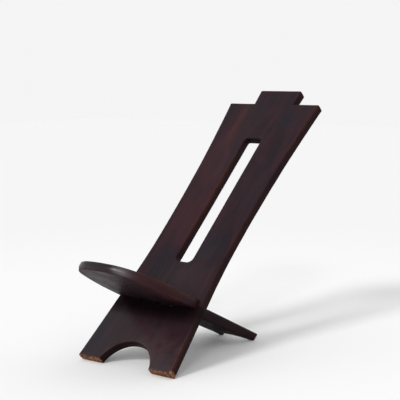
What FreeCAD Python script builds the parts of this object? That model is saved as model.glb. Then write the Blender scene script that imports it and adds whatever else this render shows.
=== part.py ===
import FreeCAD, Part
import math
import os
import Sketcher

# A two plank birthing chair. A tall back plank leans backwards on two feet, and a seat plank
# passes through a mortise in it and reaches down to the floor behind on two feet of its own.
# Millimetres and degrees, +Z up, the front of the chair towards -Y, X across the planks.

doc = FreeCAD.newDocument("birthing_chair")

# Driving sizes
SIZES = {
    # How the two planks stand: angles from the floor, and where the seat crosses the back
    "back_angle": 45.0,
    "seat_angle": 25.4,
    "joint_height": 202.0,
    # Back plank, measured up along the plank and out from its middle line
    "back_length": 985.0,
    "back_thickness": 25.0,
    "back_foot_half_width": 163.0,
    "ankle_height": 250.0,
    "waist_half_width": 132.5,
    "waist_height": 422.0,
    "shoulder_half_width": 162.0,
    "shoulder_height": 931.0,
    "tab_base_half_width": 71.5,
    "tab_top_half_width": 73.9,
    "crest_radius": 5.0,
    "back_arch_half_width": 86.5,
    "back_arch_height": 68.0,
    # Long slot in the upper half of the back plank
    "slot_half_width": 28.0,
    "slot_bottom": 338.5,
    "slot_top": 791.0,
    "slot_bottom_radius": 15.0,
    "slot_top_radius": 4.0,
    # Seat plank, measured along the plank from the joint and out from its middle line
    "seat_length": 270.0,
    "seat_half_width": 129.0,
    "straight_side_length": 50.0,
    "seat_flank_radius": 530.0,
    "seat_corner_radius": 88.0,
    "seat_front_radius": 200.0,
    "seat_thickness": 23.0,
    "seat_belly": 5.0,
    "tail_half_width": 69.0,
    # The tail's cheeks stand upright in the mortise, then slant in to the underside, and widen
    # again at the heels; the keel and the heels are measured half across the underside
    "tenon_length": 38.0,
    "keel_half_width": 54.0,
    "keel_run_in": 40.0,
    "heel_half_width": 63.0,
    "heel_length": 50.0,
    "cheek_band": 6.0,
    "tail_arch_half_width": 45.5,
    "tail_arch_height": 44.0,
    # Fits and finish
    "mortise_clearance": 1.0,
    "sole_wear": 1.5,
    "back_arris_radius": 2.2,
    "seat_arris_radius": 2.5,
    # How far a cut runs past the wood
    "cut_overrun": 30.0,
}

sheet = doc.addObject("Spreadsheet::Sheet", "Sizes")
for row, (alias, value) in enumerate(SIZES.items(), start=1):
    sheet.set("A%d" % row, alias)
    sheet.set("B%d" % row, str(value))
    sheet.setAlias("B%d" % row, alias)
doc.recompute()


def size(alias):
    """The value that the sheet holds under this name."""
    return float(getattr(sheet, alias))


# Worked out sizes: the tail is as long as it must be for its foot to reach the floor
CROSSING_ANGLE = "(Sizes.back_angle + Sizes.seat_angle)"
JOINT_RISE = ("(Sizes.joint_height * sin(Sizes.back_angle)"
              " + Sizes.back_thickness * cos(Sizes.back_angle))")
TAIL_LENGTH = "(" + JOINT_RISE + " / sin(Sizes.seat_angle))"

back_lean = math.radians(size("back_angle"))
seat_slope = math.radians(size("seat_angle"))
joint_rise = size("joint_height") * math.sin(back_lean) + size("back_thickness") * math.cos(back_lean)
tail_length = joint_rise / math.sin(seat_slope)


# Sketching helpers
def plane_of(body, role):
    """One of the body's own origin planes."""
    return [item for item in body.Origin.OriginFeatures if item.Role == role][0]


def new_sketch(body, name, role):
    """An empty sketch on one of the body's origin planes."""
    sketch = body.newObject("Sketcher::SketchObject", name)
    sketch.AttachmentSupport = [(plane_of(body, role), "")]
    sketch.MapMode = "FlatFace"
    return sketch


def point(x, y):
    """A point in a sketch's own plane."""
    return FreeCAD.Vector(x, y, 0)


def add_line(sketch, start, end):
    """A straight side, as its number and its two ends."""
    number = sketch.addGeometry(Part.LineSegment(point(*start), point(*end)), False)
    return (number, 1, 2)


def circle_through(a, b, c):
    """Centre of the circle through three points."""
    across = 2 * ((b[0] - a[0]) * (c[1] - a[1]) - (b[1] - a[1]) * (c[0] - a[0]))
    ab = b[0] ** 2 + b[1] ** 2 - a[0] ** 2 - a[1] ** 2
    ac = c[0] ** 2 + c[1] ** 2 - a[0] ** 2 - a[1] ** 2
    x = (ab * (c[1] - a[1]) - ac * (b[1] - a[1])) / across
    y = (ac * (b[0] - a[0]) - ab * (c[0] - a[0])) / across
    return (x, y)


def add_arc(sketch, start, middle, end):
    """A round side through three points, as its number and its two ends."""
    centre = circle_through(start, middle, end)
    radius = math.dist(centre, start)
    first = math.atan2(start[1] - centre[1], start[0] - centre[0])
    last = math.atan2(end[1] - centre[1], end[0] - centre[0])
    turn = (middle[0] - start[0]) * (end[1] - middle[1]) - (middle[1] - start[1]) * (end[0] - middle[0])
    if turn < 0:
        first, last = last, first
    if last < first:
        last += 2 * math.pi
    circle = Part.Circle(point(*centre), FreeCAD.Vector(0, 0, 1), radius)
    number = sketch.addGeometry(Part.ArcOfCircle(circle, first, last), False)
    return (number, 1, 2) if turn > 0 else (number, 2, 1)


def bowed(start, end, share):
    """Where the solver starts an arc: the middle of its chord, pushed to the right by a share of it."""
    run = end[0] - start[0]
    rise = end[1] - start[1]
    return ((start[0] + end[0]) / 2 + share * rise, (start[1] + end[1]) / 2 - share * run)


def join(sketch, sides, smooth=()):
    """Closes the sides into a loop; the corners listed in smooth are tangent."""
    for corner, side in enumerate(sides):
        following = sides[(corner + 1) % len(sides)]
        kind = "Tangent" if corner in smooth else "Coincident"
        sketch.addConstraint(Sketcher.Constraint(kind, side[0], side[2], following[0], following[1]))


def bind(sketch, constraint, name, expression):
    """Adds a dimension and ties it to the sheet."""
    number = sketch.addConstraint(constraint)
    sketch.renameConstraint(number, name)
    sketch.setExpression("Constraints." + name, expression)


def pin(sketch, side, end, name, x=None, y=None):
    """Places one end of a side by named sizes; 0 puts it on an axis, a leading minus beyond it."""
    place = (side[0], side[end])
    position = sketch.getPoint(*place)
    wanted = (("DistanceX", -2, x, position.x), ("DistanceY", -1, y, position.y))
    for kind, axis, expression, value in wanted:
        if expression is None:
            continue
        if expression == "0":
            sketch.addConstraint(Sketcher.Constraint("PointOnObject", place[0], place[1], axis))
            continue
        ends = (-1, 1) + place
        if expression.startswith("-"):
            ends = place + (-1, 1)
            expression = expression[1:]
        dimension = Sketcher.Constraint(kind, *ends, abs(value))
        bind(sketch, dimension, name + "_" + kind[-1].lower(), expression)


def level(sketch, kind, *sides):
    """Keeps straight sides along one of the sketch's axes."""
    for side in sides:
        sketch.addConstraint(Sketcher.Constraint(kind, side[0]))


def centre_level(sketch, kind, arc, end):
    """Puts an arc's centre straight across from one of its ends, so that the arc leaves square."""
    sketch.addConstraint(Sketcher.Constraint(kind, arc[0], 3, arc[0], arc[end]))


def extrude(body, kind, name, sketch, length=None, both_ways=False):
    """A Pad or a Pocket of the sketch; without a length it goes through everything."""
    feature = body.newObject("PartDesign::" + kind, name)
    feature.Profile = sketch
    if length is None:
        feature.Type = "ThroughAll"
    else:
        feature.setExpression("Length", length)
    if both_ways:
        feature.SideType = "Symmetric"
    feature.Refine = True
    return feature


def mirror_across(body, name, features):
    """The same features again on the other side of the plank's middle line."""
    mirrored = body.newObject("PartDesign::Mirrored", name)
    mirrored.Originals = features
    mirrored.MirrorPlane = (plane_of(body, "YZ_Plane"), [""])
    mirrored.Refine = True
    body.Tip = mirrored
    doc.recompute()
    return mirrored


def ease(body, name, base, edges, radius):
    """Rounds the listed edges."""
    fillet = body.newObject("PartDesign::Fillet", name)
    fillet.Base = (base, edges)
    fillet.setExpression("Radius", radius)
    doc.recompute()
    return fillet


def edges_where(feature, test):
    """Names of the feature's edges whose every sampled point passes the test."""
    names = []
    for number, edge in enumerate(feature.Shape.Edges, start=1):
        if all(test(place) for place in edge.discretize(5)):
            names.append("Edge%d" % number)
    return names


def wear_sole(body, angle, corner, corner_value, side):
    """Cuts a plank's lowest corner flat along the floor, as deep as its sole has worn.

    The sketch is a triangle whose long side is the floor line. side is the direction, along
    the plank, in which the plank ends at that corner.
    """
    overrun = size("cut_overrun")
    tilt = math.radians(size(angle))
    drop = size("sole_wear") / math.sin(tilt)
    outside = corner_value + side * overrun
    inner = (corner_value - side * (drop + overrun / math.tan(tilt)), -overrun)
    outer = (outside, (abs(outside - corner_value) + drop) * math.tan(tilt))
    sketch = new_sketch(body, body.Name + "_sole_outline", "YZ_Plane")
    floor_line = add_line(sketch, inner, outer)
    end_side = add_line(sketch, outer, (outside, -overrun))
    low_side = add_line(sketch, (outside, -overrun), inner)
    join(sketch, [floor_line, end_side, low_side])
    tip = (sketch.addGeometry(Part.Point(point(corner_value, 0)), True), 1, 1)
    pin(sketch, tip, 1, "corner", x=corner, y="0")
    level(sketch, "Vertical", end_side)
    level(sketch, "Horizontal", low_side)
    pin(sketch, end_side, 2, "past", y="-Sizes.cut_overrun")
    reach = "Sizes.cut_overrun" if side < 0 else corner + " + Sizes.cut_overrun"
    pin(sketch, end_side, 2, "beyond", x=("-" if side < 0 else "") + reach)
    depth = Sketcher.Constraint("Distance", tip[0], 1, floor_line[0], size("sole_wear"))
    bind(sketch, depth, "wear", "Sizes.sole_wear")
    rays = [(floor_line[0], 1), (low_side[0], 2)]
    if side > 0:
        rays.reverse()
    bind(sketch, Sketcher.Constraint("Angle", *rays[0], *rays[1], tilt), "slope", "Sizes." + angle)
    return extrude(body, "Pocket", body.Name + "_sole", sketch, both_ways=True)


# Shares of their chords by which the arcs are first drawn bowed, before the sketches are solved
SLIGHT_BOW_SHARE = 0.015
CORNER_BOW_SHARE = 0.15

# How far the ankle is first drawn beyond the waist, as a share of how far the foot is
ANKLE_REACH_SHARE = 0.25


# Back plank: its local Y runs up the plank and its local Z out of its front face
def back_outline(body):
    """Half of the plank's outline, from the arch between the feet to the tab on the crest."""
    sketch = new_sketch(body, "back_outline", "XY_Plane")
    arch_foot = (size("back_arch_half_width"), 0)
    foot = (size("back_foot_half_width"), 0)
    waist = (size("waist_half_width"), size("waist_height"))
    ankle = (waist[0] + (foot[0] - waist[0]) * ANKLE_REACH_SHARE, size("ankle_height"))
    shoulder = (size("shoulder_half_width"), size("shoulder_height"))
    tab_base = (size("tab_base_half_width"), size("shoulder_height"))
    tab_top = (size("tab_top_half_width"), size("back_length"))
    crest = (0, size("back_length"))
    arch_top = (0, size("back_arch_height"))
    sole = add_line(sketch, arch_foot, foot)
    shin = add_line(sketch, foot, ankle)
    calf = add_arc(sketch, ankle, bowed(ankle, waist, -SLIGHT_BOW_SHARE), waist)
    flare = add_arc(sketch, waist, bowed(waist, shoulder, -SLIGHT_BOW_SHARE), shoulder)
    shoulder_top = add_line(sketch, shoulder, tab_base)
    tab_side = add_line(sketch, tab_base, tab_top)
    tab_end = add_line(sketch, tab_top, crest)
    middle = add_line(sketch, crest, arch_top)
    arch = add_arc(sketch, arch_top, bowed(arch_top, arch_foot, -CORNER_BOW_SHARE), arch_foot)
    sides = [sole, shin, calf, flare, shoulder_top, tab_side, tab_end, middle, arch]
    join(sketch, sides, smooth=[sides.index(shin)])
    level(sketch, "Horizontal", shoulder_top, tab_end)
    pin(sketch, sole, 1, "arch_foot", x="Sizes.back_arch_half_width", y="0")
    pin(sketch, sole, 2, "foot", x="Sizes.back_foot_half_width", y="0")
    pin(sketch, calf, 1, "ankle", y="Sizes.ankle_height")
    pin(sketch, flare, 1, "waist", x="Sizes.waist_half_width", y="Sizes.waist_height")
    pin(sketch, flare, 2, "shoulder", x="Sizes.shoulder_half_width", y="Sizes.shoulder_height")
    pin(sketch, tab_side, 1, "tab_base", x="Sizes.tab_base_half_width")
    pin(sketch, tab_side, 2, "tab_top", x="Sizes.tab_top_half_width", y="Sizes.back_length")
    pin(sketch, middle, 1, "crest", x="0")
    pin(sketch, middle, 2, "arch_top", x="0", y="Sizes.back_arch_height")
    centre_level(sketch, "Horizontal", calf, 2)
    centre_level(sketch, "Horizontal", flare, 1)
    sketch.addConstraint(Sketcher.Constraint("PointOnObject", arch[0], 3, -2))
    return sketch


def slot_outline(body):
    """Half of the long slot: nearly square at the top, well rounded at the bottom."""
    sketch = new_sketch(body, "slot_outline", "XY_Plane")
    half = size("slot_half_width")
    low = size("slot_bottom")
    high = size("slot_top")
    low_radius = size("slot_bottom_radius")
    high_radius = size("slot_top_radius")
    bottom = add_line(sketch, (0, low), (half - low_radius, low))
    low_corner = add_arc(sketch, (half - low_radius, low),
                         bowed((half - low_radius, low), (half, low + low_radius), CORNER_BOW_SHARE),
                         (half, low + low_radius))
    cheek = add_line(sketch, (half, low + low_radius), (half, high - high_radius))
    high_corner = add_arc(sketch, (half, high - high_radius),
                          bowed((half, high - high_radius), (half - high_radius, high), CORNER_BOW_SHARE),
                          (half - high_radius, high))
    top = add_line(sketch, (half - high_radius, high), (0, high))
    middle = add_line(sketch, (0, high), (0, low))
    sides = [bottom, low_corner, cheek, high_corner, top, middle]
    join(sketch, sides, smooth=range(sides.index(top)))
    level(sketch, "Horizontal", bottom, top)
    level(sketch, "Vertical", cheek)
    pin(sketch, middle, 2, "slot_low", x="0", y="Sizes.slot_bottom")
    pin(sketch, middle, 1, "slot_high", x="0", y="Sizes.slot_top")
    pin(sketch, cheek, 1, "slot_cheek", x="Sizes.slot_half_width")
    bind(sketch, Sketcher.Constraint("Radius", low_corner[0], low_radius), "low_radius",
         "Sizes.slot_bottom_radius")
    bind(sketch, Sketcher.Constraint("Radius", high_corner[0], high_radius), "high_radius",
         "Sizes.slot_top_radius")
    return sketch


def mortise_profile(body):
    """The mortise seen from the side: a slanting passage along the seat plank, clear of it all round."""
    sketch = new_sketch(body, "mortise_profile", "YZ_Plane")
    crossing = back_lean + seat_slope
    overrun = size("cut_overrun")
    joint = (size("joint_height"), size("back_thickness"))
    below = size("seat_belly") + size("mortise_clearance")
    above = size("seat_thickness") + size("mortise_clearance")
    front = joint[1] + overrun

    def along(offset, height):
        """Where a line offset from the seat's underside meets a height over the back face."""
        base = (joint[0] + offset * math.sin(crossing), joint[1] + offset * math.cos(crossing))
        return (base[0] - (height - base[1]) / math.tan(crossing), height)

    corners = [along(-below, front), along(-below, -overrun), along(above, -overrun), along(above, front)]
    floor_side = add_line(sketch, corners[0], corners[1])
    rear_side = add_line(sketch, corners[1], corners[2])
    roof_side = add_line(sketch, corners[2], corners[3])
    front_side = add_line(sketch, corners[3], corners[0])
    join(sketch, [floor_side, rear_side, roof_side, front_side])
    level(sketch, "Horizontal", rear_side, front_side)
    sketch.addConstraint(Sketcher.Constraint("Parallel", floor_side[0], roof_side[0]))
    mark = (sketch.addGeometry(Part.Point(point(*joint)), True), 1, 1)
    pin(sketch, mark, 1, "joint", x="Sizes.joint_height", y="Sizes.back_thickness")
    pin(sketch, rear_side, 1, "rear", y="-Sizes.cut_overrun")
    pin(sketch, front_side, 1, "front", y="Sizes.back_thickness + Sizes.cut_overrun")
    bind(sketch, Sketcher.Constraint("Distance", mark[0], 1, floor_side[0], below), "below",
         "Sizes.seat_belly + Sizes.mortise_clearance")
    bind(sketch, Sketcher.Constraint("Distance", mark[0], 1, roof_side[0], above), "above",
         "Sizes.seat_thickness + Sizes.mortise_clearance")
    bind(sketch, Sketcher.Constraint("Angle", floor_side[0], 1, front_side[0], 2, crossing), "crossing",
         CROSSING_ANGLE)
    return sketch


def build_back_plank():
    """The tall plank: outline, long slot, eased edges, mortise and worn soles."""
    body = doc.addObject("PartDesign::Body", "back_plank")
    board = extrude(body, "Pad", "back_board", back_outline(body), "Sizes.back_thickness")
    slot = extrude(body, "Pocket", "slot", slot_outline(body), both_ways=True)
    whole = mirror_across(body, "back_whole", [board, slot])
    thickness = size("back_thickness")

    def on_crest_corner(place):
        """True on the upright edges at the ends of the shoulders and of the tab."""
        over = place.y > size("shoulder_height") - size("crest_radius")
        return over and abs(place.x) > size("tab_base_half_width") + size("back_arris_radius") / 2

    upright = [
        "Edge%d" % number
        for number, edge in enumerate(whole.Shape.Edges, start=1)
        if abs(edge.tangentAt(edge.FirstParameter).z) > math.cos(seat_slope)
        and all(on_crest_corner(place) for place in edge.discretize(3))
    ]
    crest = ease(body, "crest_corners", whole, upright, "Sizes.crest_radius")
    faces = edges_where(crest, lambda place: min(abs(place.z), abs(place.z - thickness)) < tolerance)
    ease(body, "back_arrises", crest, faces, "Sizes.back_arris_radius")
    extrude(body, "Pocket", "mortise", mortise_profile(body),
            "2 * (Sizes.tail_half_width + Sizes.mortise_clearance)", both_ways=True)
    wear_sole(body, "back_angle", "0", 0, -1)
    return body


# Seat plank: its local Y runs down and back along the plank from the joint, its local Z out of
# its top face
def seat_side(body):
    """The plank seen from the side: flat on top, with a shallow belly underneath."""
    sketch = new_sketch(body, "seat_side", "YZ_Plane")
    front = -size("seat_length")
    top = size("seat_thickness")
    belly_middle = ((front + tail_length) / 2, -size("seat_belly"))
    nose = add_line(sketch, (front, 0), (front, top))
    deck = add_line(sketch, (front, top), (tail_length, top))
    heel = add_line(sketch, (tail_length, top), (tail_length, 0))
    belly = add_arc(sketch, (tail_length, 0), belly_middle, (front, 0))
    join(sketch, [nose, deck, heel, belly])
    level(sketch, "Vertical", nose, heel)
    pin(sketch, nose, 1, "front", x="-Sizes.seat_length", y="0")
    pin(sketch, nose, 2, "top", y="Sizes.seat_thickness")
    pin(sketch, deck, 2, "deck", y="Sizes.seat_thickness")
    pin(sketch, heel, 2, "heel", x=TAIL_LENGTH, y="0")
    run = size("seat_length") + tail_length
    radius = (run ** 2 / 4 + size("seat_belly") ** 2) / (2 * size("seat_belly"))
    chord = "(Sizes.seat_length + " + TAIL_LENGTH + ")"
    bind(sketch, Sketcher.Constraint("Radius", belly[0], radius), "belly_radius",
         "(" + chord + " ^ 2 / 4 + Sizes.seat_belly ^ 2) / (2 * Sizes.seat_belly)")
    return sketch


def nested_centre(first, first_reach, second, second_reach):
    """Centre of a circle that lies inside two others: where their shrunken circles cross in front."""
    apart = math.dist(first, second)
    along = (first_reach ** 2 - second_reach ** 2 + apart ** 2) / (2 * apart)
    aside = math.sqrt(first_reach ** 2 - along ** 2)
    run = ((second[0] - first[0]) / apart, (second[1] - first[1]) / apart)
    return (first[0] + along * run[0] + aside * run[1], first[1] + along * run[1] - aside * run[0])


def out_from(centre, through, radius):
    """The point of a circle that lies beyond another point, seen from its centre."""
    reach = radius / math.dist(centre, through)
    return (centre[0] + (through[0] - centre[0]) * reach, centre[1] + (through[1] - centre[1]) * reach)


def arc_about(sketch, centre, radius, start, end):
    """A round side of less than half a turn, from its centre and its two ends."""
    halfway = ((start[0] + end[0]) / 2, (start[1] + end[1]) / 2)
    return add_arc(sketch, start, out_from(centre, halfway, radius), end)


def seat_waste(body):
    """The wood cut away outside one half of the rounded seat.

    The seat's edge is straight, then bends in along its flank, round a corner and across its
    front, each arc tangent to the next.
    """
    sketch = new_sketch(body, "seat_waste", "XY_Plane")
    overrun = size("cut_overrun")
    half = size("seat_half_width")
    front = -size("seat_length")
    side = (half, -size("straight_side_length"))
    nose = (0, front)
    flank_radius = size("seat_flank_radius")
    corner_radius = size("seat_corner_radius")
    brow_radius = size("seat_front_radius")
    flank_centre = (half - flank_radius, side[1])
    brow_centre = (0, front + brow_radius)
    corner_centre = nested_centre(
        flank_centre, flank_radius - corner_radius, brow_centre, brow_radius - corner_radius)
    flank_end = out_from(flank_centre, corner_centre, flank_radius)
    brow_end = out_from(brow_centre, corner_centre, brow_radius)
    flank = arc_about(sketch, flank_centre, flank_radius, side, flank_end)
    corner = arc_about(sketch, corner_centre, corner_radius, flank_end, brow_end)
    brow = arc_about(sketch, brow_centre, brow_radius, brow_end, nose)
    middle = add_line(sketch, nose, (0, front - overrun))
    outer_front = add_line(sketch, (0, front - overrun), (half + overrun, front - overrun))
    outer_side = add_line(sketch, (half + overrun, front - overrun), (half + overrun, side[1]))
    back = add_line(sketch, (half + overrun, side[1]), side)
    join(sketch, [flank, corner, brow, middle, outer_front, outer_side, back], smooth=[0, 1])
    level(sketch, "Horizontal", outer_front, back)
    level(sketch, "Vertical", outer_side)
    pin(sketch, flank, 1, "side", x="Sizes.seat_half_width", y="-Sizes.straight_side_length")
    pin(sketch, middle, 1, "nose", x="0", y="-Sizes.seat_length")
    pin(sketch, outer_side, 1, "outer", x="Sizes.seat_half_width + Sizes.cut_overrun",
        y="-(Sizes.seat_length + Sizes.cut_overrun)")
    sketch.addConstraint(Sketcher.Constraint("PointOnObject", middle[0], middle[2], -2))
    centre_level(sketch, "Horizontal", flank, 1)
    sketch.addConstraint(Sketcher.Constraint("PointOnObject", brow[0], 3, -2))
    for arc, name in ((flank, "flank"), (corner, "corner"), (brow, "front")):
        radius = Sketcher.Constraint("Radius", arc[0], size("seat_%s_radius" % name))
        bind(sketch, radius, name + "_radius", "Sizes.seat_%s_radius" % name)
    return sketch


def shoulder_waste(body):
    """The wood cut away behind one shoulder, square to the back plank's front face.

    The sketch lies square across the back plank, its upward axis out of that plank's front face,
    so the shoulder is cut in the plane of that face and bears flat on it.
    """
    sketch = new_sketch(body, "shoulder_waste", "XZ_Plane")
    sketch.AttachmentOffset = FreeCAD.Placement(
        FreeCAD.Vector(0, 0, 0),
        FreeCAD.Rotation(FreeCAD.Vector(1, 0, 0), size("back_angle") + size("seat_angle")),
    )
    sketch.setExpression("AttachmentOffset.Rotation.Angle", CROSSING_ANGLE)
    inside = size("tail_half_width")
    outside = size("seat_half_width") + size("cut_overrun")
    depth = size("back_thickness")
    shoulder = add_line(sketch, (inside, 0), (outside, 0))
    outer = add_line(sketch, (outside, 0), (outside, -depth))
    rear = add_line(sketch, (outside, -depth), (inside, -depth))
    cheek = add_line(sketch, (inside, -depth), (inside, 0))
    join(sketch, [shoulder, outer, rear, cheek])
    level(sketch, "Horizontal", shoulder, rear)
    level(sketch, "Vertical", outer, cheek)
    pin(sketch, cheek, 2, "cheek", x="Sizes.tail_half_width", y="0")
    pin(sketch, rear, 1, "rear", x="Sizes.seat_half_width + Sizes.cut_overrun", y="-Sizes.back_thickness")
    return sketch


def cheek_slice(body, name, place, under):
    """A slice across the wood cut away beside the tail: upright, slanting in, and upright again.

    place is how far down the plank the slice lies, and under names the tail's half width at its
    underside.
    """
    sketch = new_sketch(body, name, "XZ_Plane")
    sketch.setExpression("AttachmentOffset.Base.z", "-(" + place + ")")
    inner = size("tail_half_width")
    outer = size("seat_half_width") + size("cut_overrun")
    high = size("seat_thickness") + size("cut_overrun")
    low = -(size("seat_belly") + size("cut_overrun"))
    band = (inner, size("seat_thickness") - size("cheek_band"))
    keel = (size(under), -size("seat_belly"))
    upright = add_line(sketch, (inner, high), band)
    slant = add_line(sketch, band, keel)
    drop = add_line(sketch, keel, (keel[0], low))
    base = add_line(sketch, (keel[0], low), (outer, low))
    outside = add_line(sketch, (outer, low), (outer, high))
    roof = add_line(sketch, (outer, high), (inner, high))
    join(sketch, [upright, slant, drop, base, outside, roof])
    level(sketch, "Vertical", upright, drop, outside)
    level(sketch, "Horizontal", base, roof)
    pin(sketch, upright, 2, "band", x="Sizes.tail_half_width", y="Sizes.seat_thickness - Sizes.cheek_band")
    pin(sketch, slant, 2, "keel", x="Sizes." + under, y="-Sizes.seat_belly")
    pin(sketch, outside, 1, "low", x="Sizes.seat_half_width + Sizes.cut_overrun",
        y="-(Sizes.seat_belly + Sizes.cut_overrun)")
    pin(sketch, outside, 2, "high", y="Sizes.seat_thickness + Sizes.cut_overrun")
    return sketch


def cheek_cut(body):
    """The wood cut away beside one half of the tail, ruled from slice to slice along the plank."""
    slices = [
        cheek_slice(body, "mid_tenon", "Sizes.back_thickness / 2", "tail_half_width"),
        cheek_slice(body, "tenon_end", "Sizes.tenon_length", "tail_half_width"),
        cheek_slice(body, "keel_start", "Sizes.tenon_length + Sizes.keel_run_in", "keel_half_width"),
        cheek_slice(body, "keel_end", TAIL_LENGTH + " - Sizes.heel_length", "keel_half_width"),
        cheek_slice(body, "heel", TAIL_LENGTH, "heel_half_width"),
        cheek_slice(body, "past_heel", TAIL_LENGTH + " + Sizes.cut_overrun", "heel_half_width"),
    ]
    cut = body.newObject("PartDesign::SubtractiveLoft", "tail_cheek")
    cut.Profile = slices[0]
    cut.Sections = slices[1:]
    cut.Ruled = True
    cut.Refine = True
    return cut


def tail_arch_waste(body):
    """Half of the arch between the tail's two feet."""
    sketch = new_sketch(body, "tail_arch_waste", "XY_Plane")
    overrun = size("cut_overrun")
    top = (0, tail_length - size("tail_arch_height"))
    foot = (size("tail_arch_half_width"), tail_length)
    past = tail_length + overrun
    arch = add_arc(sketch, top, bowed(top, foot, CORNER_BOW_SHARE), foot)
    side = add_line(sketch, foot, (foot[0], past))
    rear = add_line(sketch, (foot[0], past), (0, past))
    middle = add_line(sketch, (0, past), top)
    join(sketch, [arch, side, rear, middle])
    level(sketch, "Vertical", side)
    level(sketch, "Horizontal", rear)
    pin(sketch, arch, 1, "arch_top", x="0", y=TAIL_LENGTH + " - Sizes.tail_arch_height")
    pin(sketch, arch, 2, "arch_foot", x="Sizes.tail_arch_half_width", y=TAIL_LENGTH)
    pin(sketch, middle, 1, "past", x="0", y=TAIL_LENGTH + " + Sizes.cut_overrun")
    sketch.addConstraint(Sketcher.Constraint("PointOnObject", arch[0], 3, -2))
    return sketch


def build_seat_plank():
    """The seat and its tail, from one board: outline, shoulders, arch, eased edges and worn soles."""
    body = doc.addObject("PartDesign::Body", "seat_plank")
    extrude(body, "Pad", "seat_board", seat_side(body), "2 * Sizes.seat_half_width", both_ways=True)
    seat_cut = extrude(body, "Pocket", "seat_round", seat_waste(body), both_ways=True)
    shoulder_cut = extrude(body, "Pocket", "seat_shoulder", shoulder_waste(body), both_ways=True)
    side_cut = cheek_cut(body)
    arch_cut = extrude(body, "Pocket", "tail_arch", tail_arch_waste(body), both_ways=True)
    whole = mirror_across(body, "seat_whole", [seat_cut, shoulder_cut, side_cut, arch_cut])
    thickness = size("seat_thickness")
    crossing = back_lean + seat_slope

    def on_broad_face(place):
        """True on the top face or the belly, away from the shoulders and the ends of the feet."""
        ahead = place.z * math.cos(crossing) - place.y * math.sin(crossing)
        on_top = abs(place.z - thickness) < tolerance
        on_belly = place.z < tolerance
        at_end = place.y > tail_length - tolerance
        return (on_top or on_belly) and abs(ahead) > tolerance and not at_end

    rim = [
        "Edge%d" % number
        for number, edge in enumerate(whole.Shape.Edges, start=1)
        if all(on_broad_face(place) for place in edge.discretize(5)[1:-1])
    ]
    ease(body, "seat_arrises", whole, rim, "Sizes.seat_arris_radius")
    wear_sole(body, "seat_angle", TAIL_LENGTH, tail_length, 1)
    return body


# How close to a plane a point of an edge must be to lie in it, as a share of the plank's thickness
EDGE_MATCH_SHARE = 1e-4
tolerance = EDGE_MATCH_SHARE * size("back_thickness")

back = build_back_plank()
seat = build_seat_plank()
doc.recompute()

# Both planks stand on the floor on their worn soles, over the middle of the chair's footprint
back.Placement = FreeCAD.Placement(
    FreeCAD.Vector(0, 0, -size("sole_wear")),
    FreeCAD.Rotation(FreeCAD.Vector(1, 0, 0), size("back_angle")),
)
joint_run = size("joint_height") * math.cos(back_lean) - size("back_thickness") * math.sin(back_lean)
seat.Placement = FreeCAD.Placement(
    FreeCAD.Vector(0, joint_run, joint_rise - size("sole_wear")),
    FreeCAD.Rotation(FreeCAD.Vector(1, 0, 0), -size("seat_angle")),
)
doc.recompute()
extents = [plank.Shape.optimalBoundingBox(False) for plank in (back, seat)]
front_edge = min(box.YMin for box in extents)
rear_edge = max(box.YMax for box in extents)
for plank in (back, seat):
    plank.Placement.Base.y -= (front_edge + rear_edge) / 2
doc.recompute()

# Nothing is written unless every object was made and both planks are whole
for item in doc.Objects:
    if "Invalid" in item.State or "Error" in item.State:
        raise RuntimeError("%s could not be made: %s" % (item.Name, item.State))
for plank in (back, seat):
    if plank.Shape.isNull() or not plank.Shape.isValid() or len(plank.Shape.Solids) != 1:
        raise RuntimeError("%s is not one sound solid" % plank.Label)
if back.Shape.common(seat.Shape).Volume > tolerance:
    raise RuntimeError("the planks run into each other")

os.makedirs("parts", exist_ok=True)
for plank in (back, seat):
    plank.Shape.exportStep(os.path.join("parts", plank.Label + ".step"))
    box = plank.Shape.optimalBoundingBox(False)
    print("%s: volume %.0f mm3, x %.1f to %.1f, y %.1f to %.1f, z %.1f to %.1f" % (
        plank.Label, plank.Shape.Volume, box.XMin, box.XMax, box.YMin, box.YMax, box.ZMin, box.ZMax))
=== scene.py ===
import math

import bpy
import numpy as np
from bpy.props import FloatProperty, FloatVectorProperty, PointerProperty
from bpy.types import Operator, Panel, PropertyGroup
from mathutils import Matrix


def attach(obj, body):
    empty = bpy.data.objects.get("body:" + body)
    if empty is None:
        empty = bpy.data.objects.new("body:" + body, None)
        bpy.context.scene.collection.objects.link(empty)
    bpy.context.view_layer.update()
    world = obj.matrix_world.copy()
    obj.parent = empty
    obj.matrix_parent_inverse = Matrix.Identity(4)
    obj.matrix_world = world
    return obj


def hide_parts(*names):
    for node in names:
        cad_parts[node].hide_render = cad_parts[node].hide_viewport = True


bl_info = {
    "name": "Two Plank Birthing Chair",
    "version": (1, 0, 0),
    "blender": (4, 5, 0),
    "location": "View3D > Sidebar > Birthing Chair",
    "description": "Dresses the two planks of a carved birthing chair and sets up its studio",
    "category": "Object",
}

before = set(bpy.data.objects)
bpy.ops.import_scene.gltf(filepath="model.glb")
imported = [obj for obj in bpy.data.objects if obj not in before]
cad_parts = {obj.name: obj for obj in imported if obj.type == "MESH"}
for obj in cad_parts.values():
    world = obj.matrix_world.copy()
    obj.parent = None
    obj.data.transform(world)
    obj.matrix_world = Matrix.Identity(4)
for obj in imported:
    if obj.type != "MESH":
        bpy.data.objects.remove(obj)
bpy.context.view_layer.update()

SNAP = 1e-6  # places on a grid that are no further apart than this are one
FINER = 2.2  # how many times smaller the cells next to a rounded corner are
EVENING_ROUNDS = 24  # times that a face's grid is evened out
SPACING_ROUNDS, CORNER_ROUNDS = 12, 3  # times that points on a curve or a corner are evened out
ARC_STEPS = 4  # cells round a plank's rounded edge
WALL_STEPS = 6  # cells down a plank's side
LEAST_MITRE = 0.4  # keeps the step outwards short at a very sharp corner
ARCH_REACH = 1.6  # cells within which the rim's points belong to an arch
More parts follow.
